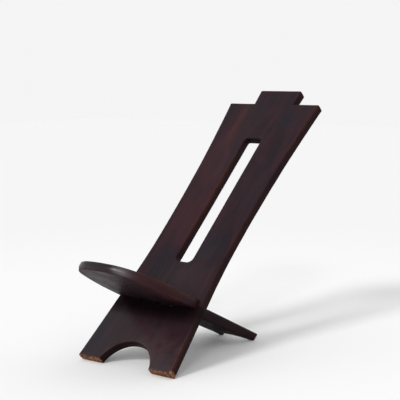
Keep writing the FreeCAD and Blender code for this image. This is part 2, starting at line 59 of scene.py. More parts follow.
CORNER_SLACK = 0.02  # share of its radius by which a rounded corner reaches past its ends
RIM_WEAR, EDGE_WEAR, WALL_WEAR = 0.4, 0.6, 0.25  # at a face's rim, more on its edge, on a wall
HALVINGS = 80  # rounds of closing in on the radius of the waist's arc
SMOOTH_ANGLE = math.radians(38)  # sides that meet at more than this look sharp

# Points along the curves that the rims are fitted to
CORNER_POINTS = 48
BACK_ARCH_POINTS, SEAT_ARCH_POINTS = 200, 160
NOSE_POINTS = (120, 80, 60)  # the seat's flank, corner and front

# Each plank's own unevenness: the layer of the noise, the seeds of its top, underside and edge, and
# the least width of the edge's rounding, as a share of its radius, with the length of its wander
BACK_LAYER, BACK_TOP_SEED, BACK_UNDER_SEED, BACK_EDGE_SEED = 0, 11, 17, 3
SEAT_LAYER, SEAT_TOP_SEED, SEAT_UNDER_SEED, SEAT_EDGE_SEED = 1, 23, 29, 5
BACK_EDGE, BACK_EDGE_LENGTH = 1.15, 0.035
SEAT_EDGE, SEAT_EDGE_LENGTH = 1.10, 0.030


# Grids: a plank's face is a grid of cells, with the cells outside its outline left out

def divided(marks, pitch):
    """How many cells lie between each mark and the next, at most pitch long."""
    return np.maximum(1, np.ceil(np.diff(marks) / pitch - SNAP)).astype(int)


def stations(marks, counts):
    """Places of the grid lines: each span between two marks divided evenly into its cells."""
    reached = np.concatenate([[0], np.cumsum(counts)])
    return np.interp(np.arange(reached[-1] + 1), reached, marks)


def fanned(along, marks, counts):
    """The points of a face's grid, with a row of them at each place along the plank.

    marks has growing distances from the middle line for each row, and the grid has both sides. A
    line keeps its share of the span that it crosses, so the lines fan out where the plank widens.
    """
    reached = np.concatenate([[0], np.cumsum(counts)])
    line = np.arange(-reached[-1], reached[-1] + 1)
    span = np.minimum(np.searchsorted(reached, np.abs(line), side="right") - 1, len(counts) - 1)
    share = (np.abs(line) - reached[span]) / counts[span]
    marks = np.stack(np.broadcast_arrays(*marks, along)[:-1], axis=1)
    across = np.sign(line) * (marks[:, span] + share * (marks[:, span + 1] - marks[:, span]))
    rows = np.repeat(along[:, None], len(line), axis=1)
    return np.stack([across, rows], axis=-1).reshape(-1, 2)


def spans(along_counts, across_counts):
    """The number of each cell's span along the plank, and of its span out from the middle."""
    along = np.repeat(np.arange(len(along_counts)), along_counts)
    half = np.repeat(np.arange(len(across_counts)), across_counts)
    return along[:, None], np.concatenate([half[::-1], half])[None, :]


def cell_corners(total, columns):
    """Numbers of every cell's four corners, anticlockwise, in a grid of that many points."""
    number = np.arange(total).reshape(-1, columns)
    corners = [number[:-1, :-1], number[:-1, 1:], number[1:, 1:], number[1:, :-1]]
    return np.stack(corners, axis=-1).reshape(-1, 4)


def rim_of(cells, total):
    """The point before and the point after each point on the grid's edges, and -1 for the rest.

    A side that only one cell has lies on the edge; it is walked with the wood on its left.
    """
    start = cells.ravel()
    end = np.roll(cells, -1, axis=1).ravel()
    alone = ~np.isin(start * total + end, end * total + start)
    before = np.full(total, -1)
    after = np.full(total, -1)
    after[start[alone]] = end[alone]
    before[end[alone]] = start[alone]
    return before, after


def outward(points, before, after):
    """Mitred outward directions at the rim, so that a step along them shifts both sides by one.

    The mean of the two sides' normals divided by the squared cosine of half the turn between them.
    """
    rim = np.flatnonzero(after >= 0)
    sides = np.stack([points[rim] - points[before[rim]], points[after[rim]] - points[rim]])
    sides = sides / np.linalg.norm(sides, axis=2, keepdims=True)
    first, second = np.stack([sides[..., 1], -sides[..., 0]], axis=-1)
    closeness = np.maximum(1 + np.sum(first * second, axis=1, keepdims=True), LEAST_MITRE)
    directions = np.zeros_like(points)
    directions[rim] = (first + second) / closeness
    return directions


def relaxed(points, inner, columns):
    """Evens out the grid: each inner point moves to the mean of its four neighbours, many times."""
    for _ in range(EVENING_ROUNDS):
        beside = points[inner - 1] + points[inner + 1]
        points[inner] = (beside + points[inner - columns] + points[inner + columns]) / 4
    return points


def pegged(points, chosen, centre, curve, rounds=SPACING_ROUNDS):
    """Moves the chosen rim points onto a curve, each about where the ray from the centre meets it.

    Their runs along the curve are then averaged with their neighbours' a few times, so that they
    end up evenly spaced, with the first and the last at the curve's own ends.
    """
    picked = np.flatnonzero(chosen)
    heading = np.arctan2(*(curve[len(curve) // 2] - centre)[::-1])

    def bearing(places):
        """Each place's angle about the centre, measured from opposite the curve's middle."""
        angle = np.arctan2(places[:, 1] - centre[1], places[:, 0] - centre[0])
        return (angle - heading + np.pi) % (2 * np.pi)

    if bearing(curve[:1]) > bearing(curve[-1:]):
        curve = curve[::-1]
    run = np.concatenate([[0], np.cumsum(np.linalg.norm(np.diff(curve, axis=0), axis=1))])
    order = picked[np.argsort(bearing(points[picked]))]
    goal = np.interp(bearing(points[order]), bearing(curve), run)
    goal[0] = 0
    goal[-1] = run[-1]
    for _ in range(rounds):
        goal[1:-1] = (goal[:-2] + 2 * goal[1:-1] + goal[2:]) / 4
    points[order, 0] = np.interp(goal, run, curve[:, 0])
    points[order, 1] = np.interp(goal, run, curve[:, 1])


def respaced(points, chosen, first, last):
    """Spreads the chosen points evenly between two ends, in order of distance from the first."""
    picked = np.flatnonzero(chosen)
    order = picked[np.argsort(np.linalg.norm(points[picked] - first, axis=1))]
    share = np.linspace(0, 1, len(order))[:, None]
    points[order] = (1 - share) * np.asarray(first) + share * np.asarray(last)


def arc_points(centre, radius, first, last, steps):
    """Points of a circle's arc from one angle to another, in degrees."""
    angle = np.radians(np.linspace(first, last, steps))
    return centre + radius * np.column_stack([np.cos(angle), np.sin(angle)])


def rounded_corner(points, rim, corner, inward_x, inward_y, radius):
    """Rounds a square corner of the outline or of an opening with an arc of the given radius.

    inward_x and inward_y are the signs of the directions from the corner to the arc's centre.
    """
    centre = np.array([corner[0] + inward_x * radius, corner[1] + inward_y * radius])
    reach = radius * (1 + CORNER_SLACK)
    past = (centre - points) * (inward_x, inward_y)
    chosen = rim & np.all((past > -reach * CORNER_SLACK) & (past < reach), axis=1)
    angle = np.degrees(np.arctan2(-inward_y, -inward_x))
    arc = arc_points(centre, radius, angle - 45, angle + 45, CORNER_POINTS)
    pegged(points, chosen, centre, arc, CORNER_ROUNDS)


class Arch:
    """The arc through an arch's two feet and its crown, cut into a plank's end at base.

    towards is the sign of the way from the end to the crown.
    """

    def __init__(self, half_width, height, base, towards):
        self.half_width, self.base, self.towards = half_width, base, towards
        self.radius = (half_width ** 2 + height ** 2) / (2 * height)
        self.centre = np.array([0.0, base + towards * (height - self.radius)])

    def distance(self, points):
        """How far points lie outside the arc's circle."""
        return np.linalg.norm(points - self.centre, axis=1) - self.radius

    def fit(self, face, rim, pitch, steps):
        """Moves the rim's points onto the arch, and spreads those of the soles evenly beside it."""
        sole = rim & (np.abs(face[:, 1] - self.base) < SNAP)
        off_middle = np.abs(face[:, 0])
        reach = ARCH_REACH * pitch
        chosen = rim & ~sole & (self.distance(face) < reach)
        chosen &= off_middle < self.half_width + reach
        chosen |= sole & (off_middle <= off_middle[sole].min() + SNAP)
        foot = math.degrees(math.asin((self.base - self.centre[1]) / self.radius))
        arc = arc_points(self.centre, self.radius, foot, self.towards * 180 - foot, steps)
        pegged(face, chosen, self.centre, arc)
        outer = off_middle[sole].max()
        for side in (-1, 1):
            ends = (side * self.half_width, self.base), (side * outer, self.base)
            respaced(face, sole & (face[:, 0] * side > 0), *ends)


# Unevenness: smooth noise from whole-number cells, the same at each run

HASH_STEPS, HASH_SEED_STEP, HASH_SPREAD = (12.9898, 78.233, 37.719), 4.1414, 43758.5453
PLANING_STRETCH = (1.6, 0.55)  # across and along the plank: narrow waves, drawn out along it
WAVE_LENGTH, WAVE_SHARE = 0.05, 0.75
RIPPLE_LENGTH, RIPPLE_SHARE = 0.017, 0.25


def mottle(flat, layer, length, seed):
    """Smooth noise from 0 to 1: scattered values at a lattice's corners, blended across each cell.

    A corner's value is the fraction of a large multiple of the sine of its weighted place. The
    lattice's cells are length wide, and layer is the height at which it is cut, in metres.
    """
    scaled = np.column_stack([flat, np.full(len(flat), layer)]) / length
    cell = np.floor(scaled)
    share = scaled - cell
    share = share * share * (3 - 2 * share)
    total = np.zeros(len(flat))
    for corner in np.ndindex(2, 2, 2):
        mixed = np.sin((cell + corner) @ HASH_STEPS + seed * HASH_SEED_STEP) * HASH_SPREAD
        weight = np.prod(np.where(corner, share, 1 - share), axis=1)
        total += weight * (mixed - np.floor(mixed))
    return total


def planed(flat, layer, seed, depth):
    """How far a hand-planed face lies below its true form: long low waves and a finer ripple."""
    spot = flat * PLANING_STRETCH
    waves = mottle(spot, layer, WAVE_LENGTH, seed)
    ripple = mottle(spot, layer, RIPPLE_LENGTH, seed + 1)
    return depth * (WAVE_SHARE * waves + RIPPLE_SHARE * ripple)


class Plank:
    """One plank as a closed surface: two faces on one grid, joined by a rounded edge."""

    def __init__(self, columns, keep, upper, lower):
        """upper and lower are the same grid's points on the top face and the underside, (n, 2)."""
        self.columns = columns
        self.cells = cell_corners(len(upper), columns)[keep]
        self.upper = upper
        self.lower = lower
        self.before, self.after = rim_of(self.cells, len(upper))
        self.rim = self.after >= 0

    def solid(self, upper_height, lower_height, radius, bulge, band, lie, marks):
        """Vertices, faces and the values stored on the points of the finished plank.

        Both faces' rims are drawn in by the edge's radius, and the grid is evened out again. From
        each rim point a quarter circle turns down off the top face, a straight wall runs from the
        upper outline to the lower one, below an upright band where there is one, and a second
        quarter circle turns in to the underside. The wall bulges out halfway down. A wall shows end
        grain as far as it faces along the plank. marks adds the plank's own values.
        """
        used = np.unique(self.cells)
        inner = used[~self.rim[used]]
        rim = np.flatnonzero(self.rim)
        out_upper = outward(self.upper, self.before, self.after)
        out_lower = outward(self.lower, self.before, self.after)
        drawn_in = (radius + bulge)[:, None]
        face_up = relaxed(self.upper - out_upper * drawn_in, inner, self.columns)
        face_down = relaxed(self.lower - out_lower * drawn_in, inner, self.columns)
        height_up = upper_height(face_up)
        height_down = lower_height(face_down)

        turn = np.linspace(0, np.pi / 2, ARC_STEPS + 1)[:, None]
        share = np.linspace(0, 1, WALL_STEPS + 1)[1:-1, None]

        def rings(above, wall, below):
            """A value on each ring: down the upper quarter circle, the wall and the lower one."""
            return np.concatenate([above[1:], wall + 0 * share, below[:-1]])

        reach, top, bottom = radius[rim], height_up[rim], height_down[rim]
        wall_top, wall_bottom = top - reach, bottom + reach
        heights = rings(
            top - (1 - np.cos(turn)) * reach,
            wall_top + share * (wall_bottom - wall_top),
            bottom + (1 - np.sin(turn)) * reach,
        )
        steepness = rings(np.sin(turn), 1, np.cos(turn))
        unbulged = rings(1 + 0 * turn, (2 * share - 1) ** 2, 1 + 0 * turn)
        edge_wear = np.sin(2 * turn) * EDGE_WEAR + RIM_WEAR
        band_bottom = top - band[rim]
        down = np.clip((band_bottom - heights) / np.maximum(band_bottom - bottom, SNAP), 0, 1)
        lower_share = down[..., None]
        outline = (1 - lower_share) * self.upper[rim] + lower_share * self.lower[rim]
        direction = (1 - lower_share) * out_upper[rim] + lower_share * out_lower[rim]
        step = (steepness - 1) * reach - unbulged * bulge[rim]
        facing = direction[..., 1] / np.maximum(np.linalg.norm(direction, axis=-1), SNAP)

        def stored(above, on_rings, below):
            """A value on the top face's points, on the rings' and on the underside's."""
            face = np.zeros(len(used))
            return np.concatenate([face + above, (on_rings + 0 * heights).ravel(), face + below])

        rim_points = (outline + direction * step[..., None]).reshape(-1, 2)
        flat = np.concatenate([face_up[used], rim_points, face_down[used]])
        rim_wear = np.where(self.rim[used], RIM_WEAR, 0.0)
        values = {
            "wear": stored(rim_wear, rings(edge_wear, WALL_WEAR, edge_wear), rim_wear),
            "side": stored(0, steepness, 0),
            "under": stored(0, down, 1),
            "end grain": stored(0, (facing * steepness) ** 2, 0),
            **marks(flat),
        }

        number = np.full(len(self.upper), -1)
        number[used] = np.arange(len(used))
        first_under = len(used) + heights.size
        ring_numbers = len(used) + np.arange(heights.size).reshape(heights.shape)
        ladder = np.concatenate([
            number[rim][None, :], ring_numbers, first_under + number[rim][None, :],
        ])
        follow = np.searchsorted(rim, self.after[rim])
        walls = [ladder[:-1], ladder[1:], ladder[1:][:, follow], ladder[:-1][:, follow]]
        faces = np.concatenate([
            number[self.cells],
            np.stack(walls, axis=-1).reshape(-1, 4),
            first_under + number[self.cells[:, ::-1]],
        ])
        height = stored(height_up[used], heights, height_down[used])
        return laid(flat, height, *lie), faces, values


def laid(flat, height, angle, origin_y, origin_z):
    """Turns a plank up by its angle about a line across it, and cuts it off at the floor."""
    along = flat[:, 1]
    y = origin_y + along * math.cos(angle) - height * math.sin(angle)
    z = origin_z + along * math.sin(angle) + height * math.cos(angle)
    return np.column_stack([flat[:, 0], y, np.maximum(z, 0)])


# Marks on the back plank, in metres across it and up it. A line of strengths is rows of a height
# and the strength there; the light flame's rows have its middle between them. A patch is its place
# across and up, its half width, its half height and its strength. The darkening just below the
# mortise is painted shade in the corner under the seat, and the haze is unwiped wax, with more of
# it
# low on the right: where that starts and is full across the plank, the same up it, and how much it
# adds.
FLAME = (
    (0.58, -0.052, 0.0), (0.66, -0.055, 0.35), (0.72, -0.060, 0.45), (0.76, -0.082, 0.5),
    (0.80, -0.090, 0.85), (0.85, -0.090, 1.0), (0.90, -0.090, 1.0), (0.93, -0.086, 0.35),
    (0.985, -0.083, 0.1),
)
SLOT_RUB = ((0.34, 0.0), (0.44, 0.5), (0.50, 1.0), (0.62, 1.0), (0.72, 0.45), (0.79, 0.1))
EDGE_RUB = (
    (0.0, 0.9), (0.06, 0.8), (0.20, 0.4), (0.40, 0.5), (0.60, 0.25), (0.75, 0.2), (0.90, 0.6),
)
# painted shade: how dark the corner under the seat is painted, by height
UNDER_SEAT_SHADE_LINE = ((0.142, 0.0), (0.175, 1.0), (0.205, 1.0), (0.210, 0.0))
HAZE = ((0.0, 1.0), (0.130, 0.9), (0.175, 0.0))
HAZE_PATCHES = ((0.030, 0.290, 0.080, 0.060, 0.7), (0.057, 0.370, 0.035, 0.045, 0.5))
RED_PATCHES = (
    (-0.080, 0.700, 0.060, 0.130, 1.0),
    (-0.070, 0.480, 0.050, 0.090, 0.7),
    (0.110, 0.580, 0.045, 0.080, 0.45),
    (0.065, 0.065, 0.060, 0.055, 0.9),
)
COOL_PATCHES = (
    (0.082, 0.880, 0.035, 0.050, 1.0),
    (0.057, 0.400, 0.050, 0.070, 0.8),
    (-0.086, 0.343, 0.050, 0.060, 0.7),
    (-0.126, 0.045, 0.040, 0.060, 0.9),
    (0.030, 0.110, 0.060, 0.045, 0.4),
)
# The first three are bare chips along the mortise's lower edge, placed to paint its glints.
CHIPS_AND_GLINTS = (
    (-0.0135, 0.1948, 0.0030, 0.0022, 1.0),
    (0.0160, 0.1948, 0.0040, 0.0016, 0.8),
    (0.0470, 0.1948, 0.0045, 0.0016, 0.8),
    (0.1610, 0.0040, 0.0100, 0.0090, 1.0),
)
MORE_HAZE_ACROSS, MORE_HAZE_UP, MORE_HAZE = (-0.024, 0.056), (0.135, 0.085), 2.2
RUB_REACH = 2  # how many of an edge's radii its rubbing reaches

# Marks on the seat plank, in metres across it and along it, forwards negative. Two places are where
# a mark starts and where it is full. The streak and the patches are as on the back plank.
RED_ACROSS, RED_ALONG = (0.085, 0.105), (0.0, -0.01)
# distances over which the paper turns greyer, from painted light round the chair to painted shade
# further off
STREAK_MIDDLE, STREAK_HALF_LENGTH, STREAK = -0.105, 0.045, 0.55
RUB_ALONG, RUB = (-0.21, -0.15), 0.6
HANDLED_ALONG, LEAST_HANDLED = (-0.14, -0.2115), 0.35
# painted shade on the seat's underside, from where it starts to where it is full at the back plank
SEAT_SHADE_ALONG = (-0.075, 0.0)
POLISHED_PATCHES = ((0.074, -0.250, 0.024, 0.024, 6.0), (-0.010, -0.265, 0.060, 0.030, 0.9))


def bell(off):
    """One at nought, falling off smoothly to both sides."""
    return np.exp(-off ** 2)


def rising(value, start, full):
    """From 0 at the start to 1 at the other place, and held past both."""
    return np.clip((value - start) / (full - start), 0, 1)


def line_of(table, place):
    """A strength that is read off between a table's rows."""
    rows = np.transpose(table)
    return np.interp(place, rows[0], rows[-1])


def patches(flat, places):
    """The strongest of several soft round patches at each point, falling off like a bell."""
    strength = np.zeros(len(flat))
    for across, up, half_width, half_height, peak in places:
        off = np.hypot((flat[:, 0] - across) / half_width, (flat[:, 1] - up) / half_height)
        strength = np.maximum(strength, peak * bell(off))
    return strength


def half_width_of_back(sizes, up):
    """Half the back plank's width at a height along it.

    A straight shin runs up from the foot and passes into an arc that is upright at the waist,
    and a second arc, upright there too, flares out to the shoulder.
    """
    ankle_drop = sizes.waist_height - sizes.ankle_height
    spread = sizes.foot_half_width - sizes.waist_half_width

    def left_over(radius):
        """How far the shin, drawn from that arc, lands outside the foot."""
        rise = math.sqrt(radius ** 2 - ankle_drop ** 2)
        return radius - rise + sizes.ankle_height * ankle_drop / rise - spread

    low, high = ankle_drop * 1.01, 1000.0  # nearly a quarter circle, and nearly straight
    for _ in range(HALVINGS):
        middle = (low + high) / 2
        low, high = (middle, high) if left_over(middle) > 0 else (low, middle)
    calf = (low + high) / 2
    slope = ankle_drop / math.sqrt(calf ** 2 - ankle_drop ** 2)
    shin = sizes.foot_half_width - slope * up
    below = np.minimum(np.abs(sizes.waist_height - up), ankle_drop)
    curve = sizes.waist_half_width + calf - np.sqrt(calf ** 2 - below ** 2)
    flare_rise = sizes.shoulder_height - sizes.waist_height
    flare_spread = sizes.shoulder_half_width - sizes.waist_half_width
    flare_radius = (flare_rise ** 2 + flare_spread ** 2) / (2 * flare_spread)
    above = np.clip(up - sizes.waist_height, 0, flare_rise)
    flare = sizes.waist_half_width + flare_radius - np.sqrt(flare_radius ** 2 - above ** 2)
    curved = np.where(up < sizes.waist_height, curve, flare)
    return np.where(up < sizes.ankle_height, shin, curved)


def back_plank_surface(chair):
    """The back plank: a fanned grid with the slot, the mortise, the arch and the steps cut out."""
    joint, sizes, seat, hand = chair.crossing, chair.back, chair.seat, chair.hand
    crossing = joint.back_angle + joint.seat_angle
    arch = Arch(sizes.arch_half_width, sizes.arch_height, 0, 1)
    mortise_half = joint.tail_half_width + joint.clearance
    pitch = hand.pitch
    fine = pitch / FINER

    def marks_at(height):
        """Heights up the plank of the grid's main lines, on the face at that height in it."""
        shift = joint.crossing_height + (sizes.thickness - height) / math.tan(crossing)
        below = (seat.belly + joint.clearance) / math.sin(crossing)
        above = (seat.thickness + joint.clearance) / math.sin(crossing)
        return np.array([
            0, shift - below, shift + above,
            sizes.slot_bottom, sizes.slot_bottom + sizes.slot_bottom_radius,
            sizes.slot_top - sizes.slot_worn_radius, sizes.slot_top,
            sizes.shoulder_height - sizes.crest_radius, sizes.shoulder_height,
            sizes.length - sizes.crest_radius, sizes.length,
        ])

    up_pitch = np.array([pitch, pitch, pitch, fine, pitch, fine, pitch, fine, pitch, fine])
    up_counts = divided((marks_at(0) + marks_at(sizes.thickness)) / 2, up_pitch)
    widest = [0, sizes.slot_half_width, mortise_half, sizes.tab_base_half_width,
              sizes.foot_half_width - sizes.crest_radius, sizes.foot_half_width]
    across_counts = divided(widest, np.array([pitch, pitch, fine, pitch, fine]))
    columns = 2 * across_counts.sum() + 1

    def face_at(height):
        """The grid's points on the face at that height in the thickness."""
        up = stations(marks_at(height), up_counts)
        up_tab = rising(up, sizes.shoulder_height, sizes.length)
        tab_spread = sizes.tab_top_half_width - sizes.tab_base_half_width
        tab = sizes.tab_base_half_width + up_tab * tab_spread
        edge = half_width_of_back(sizes, up)
        marks = (0, sizes.slot_half_width, mortise_half, tab, edge - sizes.crest_radius, edge)
        return fanned(up, marks, across_counts)

    upper, lower = face_at(sizes.thickness), face_at(0)
    # Up the plank, span 1 is the mortise, 3 to 5 the slot, and 8 and on lie beside the crest tab.
    # Across it, span 0 is as wide as the slot, 0 and 1 as the mortise, and 3 and on pass the tab.
    up_span, across_span = spans(up_counts, across_counts)
    keep = ~((up_span == 1) & (across_span <= 1))
    keep &= ~((up_span >= 3) & (up_span <= 5) & (across_span == 0))
    keep &= ~((up_span >= 8) & (across_span >= 3))
    middle = upper[cell_corners(len(upper), columns)].mean(axis=1)
    keep = keep.ravel() & (arch.distance(middle) > 0)
    plank = Plank(columns, keep, upper, lower)

    for face in (upper, lower):
        arch.fit(face, plank.rim, pitch, BACK_ARCH_POINTS)
        for side in (-1, 1):
            slot_top = sizes.slot_worn_radius if side > 0 else sizes.slot_top_radius
            crest = sizes.worn_corner_radius if side > 0 else sizes.crest_radius
            for half_width, up, inward, radius in (
                (sizes.slot_half_width, sizes.slot_bottom, 1, sizes.slot_bottom_radius),
                (sizes.slot_half_width, sizes.slot_top, -1, slot_top),
                (sizes.tab_top_half_width, sizes.length, -1, crest),
                (sizes.shoulder_half_width, sizes.shoulder_height, -1, crest),
            ):
                rounded_corner(face, plank.rim, (side * half_width, up), -side, inward, radius)

    low, high = marks_at(sizes.thickness)[1:3]
    in_mortise = (upper[:, 1] > low - SNAP) & (upper[:, 1] < high + SNAP)
    in_mortise &= np.abs(upper[:, 0]) < mortise_half + SNAP
    wander = mottle(upper, BACK_LAYER, BACK_EDGE_LENGTH, BACK_EDGE_SEED)
    rounding = sizes.arris_radius * (BACK_EDGE + hand.arris_wander * wander)
    radius = np.where(in_mortise, sizes.sharp_radius, rounding)

    def marks(flat):
        """The marks of growth and use, a light flame, red and bluish patches and rubbed edges, and
        painted shade.

        The flame runs down the left half; its middle and strength are read off by height. The soles
        are worn down to bare wood, up to a little above the feet's end, and bare chips along the
        mortise's lower edge paint its glints. The corner under the seat gets painted shade.
        """
        across, up = flat[:, 0], flat[:, 1]
        flame_middle = np.interp(up, *np.transpose(FLAME)[:2])
        rub_reach = RUB_REACH * sizes.arris_radius
        slot_edge = bell((across + sizes.slot_half_width) / rub_reach) * line_of(SLOT_RUB, up)
        right_edge = bell((across - half_width_of_back(sizes, up)) / rub_reach)
        low_right = rising(across, *MORE_HAZE_ACROSS) * rising(up, *MORE_HAZE_UP)
        haze = line_of(HAZE, up) * (1 + MORE_HAZE * low_right)
        flame = bell((across - flame_middle) / sizes.flame_half_width)
        return {
            # bare soles, and bare chips that paint glints along the mortise's lower edge
            "bare": np.maximum(rising(up, hand.bare_height, 0), patches(flat, CHIPS_AND_GLINTS)),
            "light streak": line_of(FLAME, up) * flame,
            "red": patches(flat, RED_PATCHES),
            "cool": patches(flat, COOL_PATCHES),
            "rubbed": np.maximum(slot_edge, right_edge * line_of(EDGE_RUB, up)),
            "handled": 0 * up,
            # painted shade in the corner under the seat
            "grimed": line_of(UNDER_SEAT_SHADE_LINE, up),
            "leaning": 1 + 0 * up,
            "hazed": np.maximum(haze, patches(flat, HAZE_PATCHES)),
        }

    return plank.solid(
        lambda flat: sizes.thickness - planed(flat, BACK_LAYER, BACK_TOP_SEED, hand.wave_depth),
        lambda flat: planed(flat, BACK_LAYER, BACK_UNDER_SEED, hand.wave_depth),
        radius, 0 * radius + hand.wall_bulge, 0 * radius,
        (joint.back_angle, joint.foot_line, -joint.sole_wear), marks,
    )


def seat_outline(sizes):
    """The rounded end of the seat, from one straight side round the nose to the other.

    Three tangent arcs on each side: the flank, centred level with the end of the straight side; the
    corner; and the front, centred on the middle line. The corner's centre lies where circles about
    the other two centres, each smaller than its arc by the corner's radius, cross.
    """
    flank = np.array([sizes.half_width - sizes.flank_radius, -sizes.straight_length])
    front = np.array([0.0, sizes.front_radius - sizes.length])
    reach = sizes.flank_radius - sizes.corner_radius
    front_reach = sizes.front_radius - sizes.corner_radius
    apart = np.linalg.norm(front - flank)
    along = (reach ** 2 - front_reach ** 2 + apart ** 2) / (2 * apart)
    run = (front - flank) / apart
    aside = math.sqrt(reach ** 2 - along ** 2)
    corner = flank + along * run + aside * np.array([run[1], -run[0]])
    to_corner = math.degrees(math.atan2(*(corner - flank)[::-1]))
    to_front = math.degrees(math.atan2(*(corner - front)[::-1]))
    flank_points, corner_points, front_points = NOSE_POINTS
    half = np.concatenate([
        arc_points(flank, sizes.flank_radius, 0, to_corner, flank_points),
        arc_points(corner, sizes.corner_radius, to_corner, to_front, corner_points)[1:],
        arc_points(front, sizes.front_radius, to_front, -90, front_points)[1:],
    ])
    return np.concatenate([half, half[-2::-1] * (-1, 1)])


def seat_plank_surface(chair):
    """The seat plank: a fanned grid with the rounded seat, the shoulders and the arch cut out."""
    joint, sizes, back, hand = chair.crossing, chair.seat, chair.back, chair.hand
    crossing = joint.back_angle + joint.seat_angle
    lean = joint.back_angle
    rise = joint.crossing_height * math.sin(lean) + back.thickness * math.cos(lean)
    forward = joint.crossing_height * math.cos(lean) - back.thickness * math.sin(lean)
    tail_end = rise / math.sin(joint.seat_angle)
    tail_half = joint.tail_half_width
    arch = Arch(sizes.arch_half_width, sizes.arch_height, tail_end, -1)

    def marks_at(height):
        """Places along the plank of the grid's main lines, at that height over its underside."""
        shoulder = height / math.tan(crossing)
        return np.array([
            -sizes.length, -sizes.straight_length, shoulder, sizes.tenon_length, tail_end,
        ])

    along_counts = divided((marks_at(0) + marks_at(sizes.thickness)) / 2, hand.pitch)
    across_counts = divided([0, tail_half, sizes.half_width], hand.pitch)
    columns = 2 * across_counts.sum() + 1
    slices = [sizes.tenon_length, sizes.tenon_length + sizes.keel_run_in,
              tail_end - sizes.heel_length, tail_end]
    keel = [tail_half, sizes.keel_half_width, sizes.keel_half_width, sizes.heel_half_width]

    def face_at(height):
        """The grid's points on the face at that height over the underside."""
        along = stations(marks_at(height), along_counts)
        tail = np.interp(along, slices, keel) if height < 0 else tail_half
        return fanned(along, (0, tail, sizes.half_width), across_counts)

    upper, lower = face_at(sizes.thickness), face_at(-sizes.belly)
    # Along the plank, spans 2 and on are the tail, and across it, span 0 is as wide as the tail.
    along_span, across_span = spans(along_counts, across_counts)
    middle = upper[cell_corners(len(upper), columns)].mean(axis=1)
    outline = seat_outline(sizes)
    right = outline[len(outline) // 2::-1]
    limit = np.interp(middle[:, 1], right[:, 1], right[:, 0], right=sizes.half_width)
    keep = ~((along_span >= 2) & (across_span >= 1)).ravel()
    keep &= (np.abs(middle[:, 0]) < limit) & (arch.distance(middle) > 0)
    plank = Plank(columns, keep, upper, lower)

    nose_centre = np.array([0.0, -sizes.straight_length])
    for face in (upper, lower):
        nose = plank.rim & (face[:, 1] < -sizes.straight_length + SNAP)
        pegged(face, nose, nose_centre, outline)
        arch.fit(face, plank.rim, hand.pitch, SEAT_ARCH_POINTS)

    outside_tail = np.abs(upper[:, 0]) > tail_half - SNAP
    bearing = outside_tail & (np.abs(upper[:, 1] - marks_at(sizes.thickness)[2]) < SNAP)
    cheek = outside_tail & (upper[:, 1] > sizes.tenon_length)
    wander = mottle(upper, SEAT_LAYER, SEAT_EDGE_LENGTH, SEAT_EDGE_SEED)
    rounding = sizes.arris_radius * (SEAT_EDGE + hand.arris_wander * wander)
    radius = np.where(bearing, sizes.sharp_radius, rounding)
    bulge = np.where(bearing | cheek, 0.0, hand.rim_bulge)
    belly_run = (sizes.length + tail_end) / 2
    belly_radius = (belly_run ** 2 + sizes.belly ** 2) / (2 * sizes.belly)

    def underside(flat):
        """The belly: a shallow arc from nose to tail, deepest halfway, a little planed away."""
        off = np.minimum(np.abs(flat[:, 1] - (tail_end - belly_run)), belly_run)
        sag = np.sqrt(belly_radius ** 2 - off ** 2) - (belly_radius - sizes.belly)
        return planed(flat, SEAT_LAYER, SEAT_UNDER_SEED, hand.wave_depth) - sag

    def marks(flat):
        """Hands have polished the rim; the underside next to the back plank gets painted shade; the
        soles are bare.

        The right side of the rim is redder, with a lighter streak near the back.
        """
        across, along = flat[:, 0], flat[:, 1]
        right = rising(across, *RED_ACROSS) * rising(along, *RED_ALONG)
        streak = bell((along - STREAK_MIDDLE) / STREAK_HALF_LENGTH)
        return {
            "bare": rising(along, tail_end - hand.bare_height, tail_end),
            "light streak": STREAK * right * streak,
            "red": right,
            "cool": 0 * along,
            "rubbed": RUB * right * rising(along, *RUB_ALONG),
            "handled": LEAST_HANDLED + (1 - LEAST_HANDLED) * rising(along, *HANDLED_ALONG),
            # painted shade on the underside next to the back plank
            "grimed": rising(along, *SEAT_SHADE_ALONG),
            "leaning": 0 * along,
            "hazed": patches(flat, POLISHED_PATCHES),
        }

    return plank.solid(
        lambda flat: sizes.thickness - planed(flat, SEAT_LAYER, SEAT_TOP_SEED, hand.wave_depth),
        underside, radius, bulge, np.where(cheek, sizes.cheek_band, 0.0),
        (-joint.seat_angle, joint.foot_line + forward, rise - joint.sole_wear), marks,
    )


def plank_object(name, surface, material):
    """Puts a worked out surface into a mesh object that stays at the origin."""
    vertices, faces, attributes = surface
    mesh = bpy.data.meshes.new(name)
    mesh.from_pydata(vertices.tolist(), [], faces.tolist())
    mesh.update()
    for attribute, values in attributes.items():
        layer = mesh.attributes.new(attribute, "FLOAT", "POINT")
        layer.data.foreach_set("value", values.astype(np.float32))
    mesh.polygons.foreach_set("use_smooth", np.ones(len(mesh.polygons), bool))
    mesh.set_sharp_from_angle(angle=SMOOTH_ANGLE)
    mesh.materials.append(material)
    piece = bpy.data.objects.new(name, mesh)
    bpy.context.scene.collection.objects.link(piece)
    return piece


# Wood: the shading of a hand-cut, waxed hardwood plank

class Amount:
    """A number that nodes work out at each point of a surface, for use in plain sums."""

    def __init__(self, nodes, socket):
        self.nodes, self.socket = nodes, socket

    def combined(self, operation, other):
        """This amount together with another, or with a plain number."""
        added = self.nodes.node("ShaderNodeMath", {"operation": operation})
        self.nodes.put(added.inputs[0], self)
        self.nodes.put(added.inputs[1], other)
        return Amount(self.nodes, added.outputs["Value"])

    def __add__(self, other):
        return self.combined("ADD", other)

    def __sub__(self, other):
        return self.combined("SUBTRACT", other)

    def __mul__(self, other):
        return self.combined("MULTIPLY", other)

    def at_least(self, other):
        """The larger of the two."""
        return self.combined("MAXIMUM", other)


